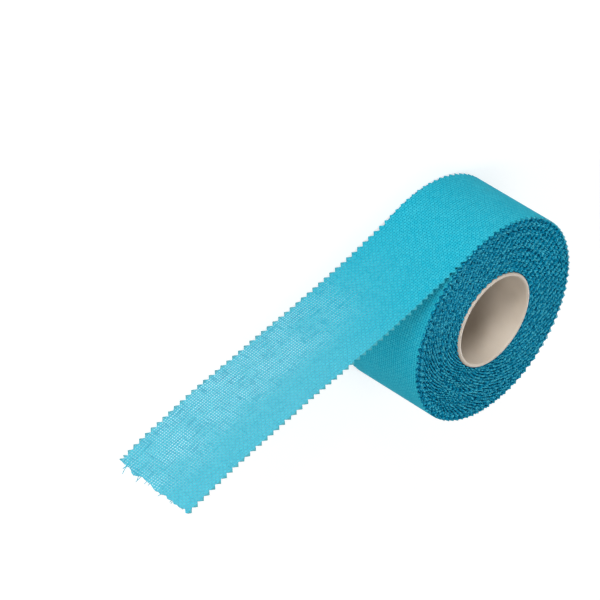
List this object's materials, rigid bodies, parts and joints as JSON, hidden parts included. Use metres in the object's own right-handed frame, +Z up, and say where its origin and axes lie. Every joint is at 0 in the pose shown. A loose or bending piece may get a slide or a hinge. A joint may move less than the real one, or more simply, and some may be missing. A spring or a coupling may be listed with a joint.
{
  "type": "adhesive finger and hand tape roll",
  "caption": "Roll of pale blue woven cotton adhesive tape with zigzag edges on a thin white core, its free end pulled off straight.",
  "frame": {"origin": "on the floor, under the middle of the whole part: the roll stands on one end face with its axis along +Z at x = -35.6 mm, y = +5.1 mm", "axes": "+X along the pulled tail, away from the roll; +Z up, along the roll's axis and across the tape; -Y the side that the tail leaves from, its cloth face outwards"},
  "size_m": [0.1272, 0.066, 0.025],
  "materials": {
    "cloth": "woven cotton, matt, with pinked edges",
    "wound_tape": "stacked edges of woven cotton tape, matt",
    "adhesive": "thin tacky coat, pale, low sheen",
    "core": "smooth ivory plastic, semi-matt"
  },
  "bodies": {
    "roll": {"core": "core", "wound_tape": "wound_tape"},
    "lap_1": {"lap_1_cloth": "cloth", "lap_1_adhesive": "adhesive"},
    "lap_2": {"lap_2_cloth": "cloth", "lap_2_adhesive": "adhesive"},
    "lap_3": {"lap_3_cloth": "cloth", "lap_3_adhesive": "adhesive"},
    "lap_4": {"lap_4_cloth": "cloth", "lap_4_adhesive": "adhesive"},
    "lap_5": {"lap_5_cloth": "cloth", "lap_5_adhesive": "adhesive"},
    "lap_6": {"lap_6_cloth": "cloth", "lap_6_adhesive": "adhesive"},
    "tail_1": {"tail_1_cloth": "cloth", "tail_1_adhesive": "adhesive"},
    "tail_2": {"tail_2_cloth": "cloth", "tail_2_adhesive": "adhesive"},
    "tail_3": {"tail_3_cloth": "cloth", "tail_3_adhesive": "adhesive"},
    "tail_4": {"tail_4_cloth": "cloth", "tail_4_adhesive": "adhesive"},
    "tail_5": {"tail_5_cloth": "cloth", "tail_5_adhesive": "adhesive"}
  },
  "joints": [
    {"name": "lap_1_peel", "type": "hinge", "parent": "roll", "child": "lap_1", "pos_m": [-0.05064, 0.02854, 0.0125], "axis": [0, 0, -1], "range_deg": [0, 24.5]},
    {"name": "lap_2_peel", "type": "hinge", "parent": "lap_1", "child": "lap_2", "pos_m": [-0.05903, 0.02019, 0.0125], "axis": [0, 0, -1], "range_deg": [0, 24.5]},
    {"name": "lap_3_peel", "type": "hinge", "parent": "lap_2", "child": "lap_3", "pos_m": [-0.06318, 0.00911, 0.0125], "axis": [0, 0, -1], "range_deg": [0, 24.5]},
    {"name": "lap_4_peel", "type": "hinge", "parent": "lap_3", "child": "lap_4", "pos_m": [-0.06236, -0.0027, 0.0125], "axis": [0, 0, -1], "range_deg": [0, 24.5]},
    {"name": "lap_5_peel", "type": "hinge", "parent": "lap_4", "child": "lap_5", "pos_m": [-0.0567, -0.01311, 0.0125], "axis": [0, 0, -1], "range_deg": [0, 24.5]},
    {"name": "lap_6_peel", "type": "hinge", "parent": "lap_5", "child": "lap_6", "pos_m": [-0.04722, -0.02023, 0.0125], "axis": [0, 0, -1], "range_deg": [0, 24.5]},
    {"name": "tail_peel", "type": "hinge", "parent": "lap_6", "child": "tail_1", "pos_m": [-0.03563, -0.02276, 0.0125], "axis": [0, 0, -1], "range_deg": [0, 60]},
    {"name": "tail_bend_1", "type": "hinge", "parent": "tail_1", "child": "tail_2", "pos_m": [-0.01565, -0.02373, 0.0125], "axis": [0, 0, 1], "range_deg": [-35, 35]},
    {"name": "tail_bend_2", "type": "hinge", "parent": "tail_2", "child": "tail_3", "pos_m": [0.00419, -0.02627, 0.0125], "axis": [0, 0, 1], "range_deg": [-35, 35]},
    {"name": "tail_bend_3", "type": "hinge", "parent": "tail_3", "child": "tail_4", "pos_m": [0.02394, -0.02941, 0.0125], "axis": [0, 0, 1], "range_deg": [-35, 35]},
    {"name": "tail_twist", "type": "hinge", "parent": "tail_4", "child": "tail_5", "pos_m": [0.04377, -0.03195, 0.0125], "axis": [0.9956, -0.0939, 0], "range_deg": [-30, 30]}
  ]
}
